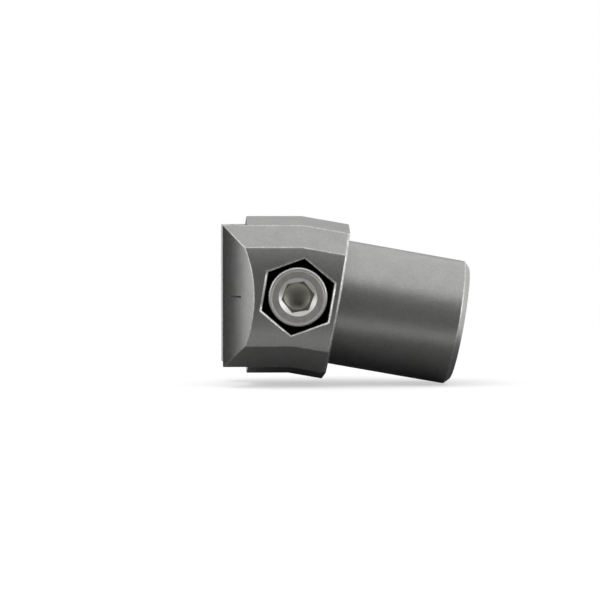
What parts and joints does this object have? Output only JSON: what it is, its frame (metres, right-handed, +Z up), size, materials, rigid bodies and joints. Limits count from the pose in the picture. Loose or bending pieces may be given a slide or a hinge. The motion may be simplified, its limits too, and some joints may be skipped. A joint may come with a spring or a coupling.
{
  "type": "angled internal tube connector",
  "caption": "Die-cast clamp connector for rail tube: claws grip a rail of an upright tube and a split tail spreads in the bore of a second tube that slopes down ten degrees.",
  "frame": {"origin": "middle of the claw seat, on the crown of the upright tube's rail, in the parting plane", "axes": "+X away from the upright tube, +Y to the rear half (the screw's head faces -Y), +Z up along the upright"},
  "size_m": [0.0432, 0.028, 0.0293],
  "materials": {
    "casting": "tumbled die-cast, satin",
    "screw_steel": "plain bright",
    "nut_steel": "zinc plated"
  },
  "bodies": {
    "front_jaw": {"front_half": "casting"},
    "rear_jaw": {"rear_half": "casting"},
    "screw": {"clamp_screw": "screw_steel"},
    "nut": {"clamp_nut": "nut_steel"}
  },
  "joints": [
    {"name": "screw_turn", "type": "hinge", "parent": "front_jaw", "child": "screw", "pos_m": [0.00865, 0, 0], "axis": [0, -1, 0], "range_deg": [0, 270]},
    {"name": "jaw_rock", "type": "hinge", "parent": "front_jaw", "child": "rear_jaw", "pos_m": [0.01791, 0, -0.00163], "axis": [0, 0, -1], "range_deg": [0, 2.8]},
    {"name": "nut_run", "type": "slide", "parent": "front_jaw", "child": "nut", "axis": [0, 1, 0], "range_m": [0, 0.00075]}
  ],
  "couplings": [
    {"joint": "screw_turn", "follows": "nut_run", "rad_per_m": 6283.2},
    {"joint": "jaw_rock", "follows": "nut_run", "rad_per_m": 65.157}
  ]
}
